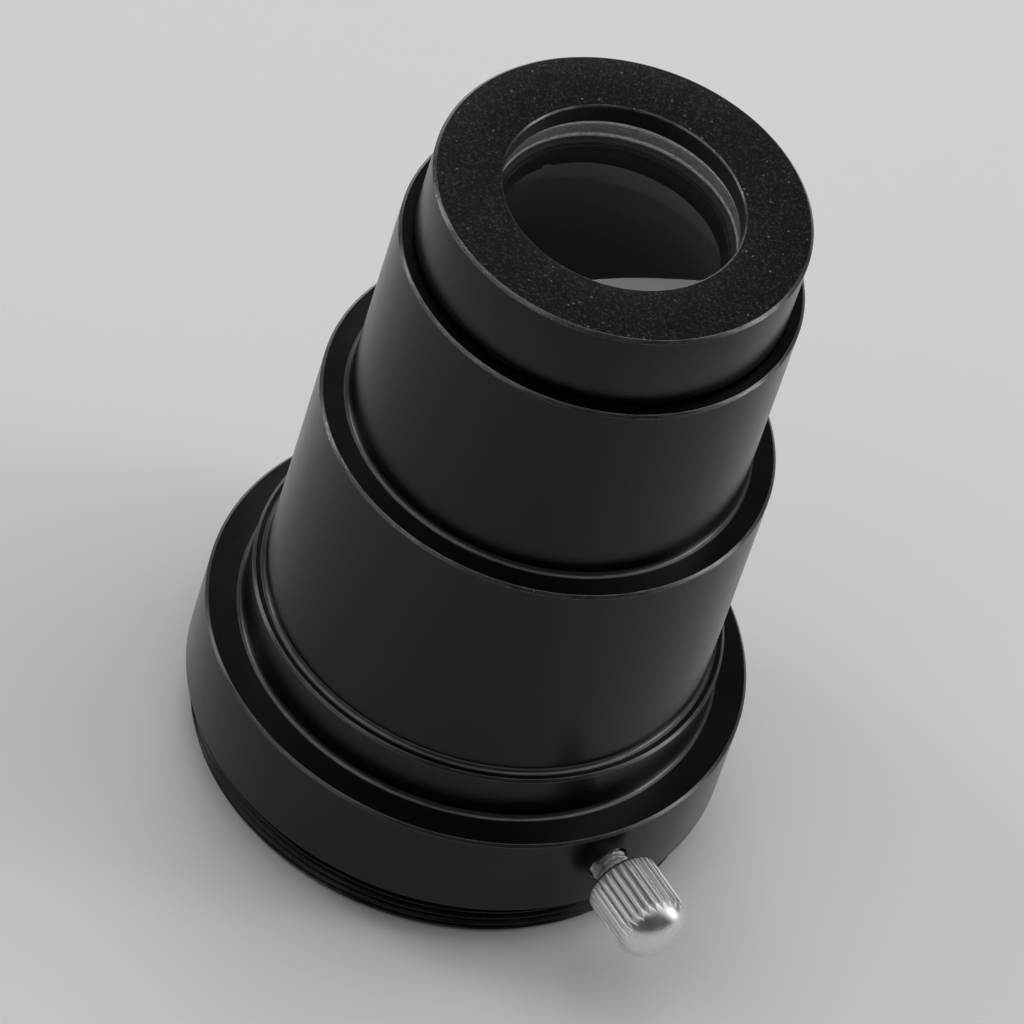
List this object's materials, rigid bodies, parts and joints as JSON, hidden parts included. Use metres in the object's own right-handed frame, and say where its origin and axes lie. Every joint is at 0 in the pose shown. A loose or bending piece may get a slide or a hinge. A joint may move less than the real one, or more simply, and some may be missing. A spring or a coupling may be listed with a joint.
{
  "type": "barlow lens",
  "caption": "Short barlow lens for small telescope eyepieces: a stepped black barrel with a screw-in negative lens cell, a threaded camera end and a side thumbscrew.",
  "frame": {"origin": "centre of the bounding box at the base, in the plane of the eyepiece end's face; the optical axis stands at x = -4.3 mm", "axes": "+Z along the optical axis from the eyepiece end to the lens cell, +X along the thumbscrew from the barrel outwards, +Y by the right-hand rule"},
  "size_m": [0.0526, 0.044, 0.0628],
  "materials": {
    "black_anodised": "satin black anodised",
    "black_anodised_cell": "matt black anodised with a fine grain",
    "brass": "turned brass",
    "coated_glass": "polished and coated faces, ground edge",
    "matt_black": "matt black anodised",
    "nickel_stud": "nickel plated thread",
    "nickel_plate": "bright nickel plate"
  },
  "bodies": {
    "barrel": {"barrel": "black_anodised", "compression_ring": "brass"},
    "doublet": {"crown_lens": "coated_glass", "flint_lens": "coated_glass"},
    "lens_cell": {"lens_cell": "black_anodised_cell", "lens_retainer": "matt_black"},
    "thumbscrew_stud": {"thumbscrew_stud": "nickel_stud"},
    "thumbscrew_head": {"thumbscrew_head": "nickel_plate"}
  },
  "joints": [
    {"name": "cell_advance", "type": "slide", "parent": "barrel", "child": "doublet", "axis": [0, 0, 1], "range_m": [0, 0.0042]},
    {"name": "cell_turn", "type": "hinge", "parent": "doublet", "child": "lens_cell", "pos_m": [-0.0043, 0, 0.0628], "axis": [0, 0, 1], "range_deg": [0, 2520]},
    {"name": "screw_advance", "type": "slide", "parent": "barrel", "child": "thumbscrew_stud", "axis": [1, 0, 0], "range_m": [-0.0012, 0.004]},
    {"name": "screw_turn", "type": "hinge", "parent": "thumbscrew_stud", "child": "thumbscrew_head", "pos_m": [0.0194, 0, 0.00815], "axis": [1, 0, 0], "range_deg": [-864, 2880]}
  ],
  "couplings": [
    {"joint": "cell_turn", "follows": "cell_advance", "rad_per_m": 10472},
    {"joint": "screw_turn", "follows": "screw_advance", "rad_per_m": 12566}
  ]
}
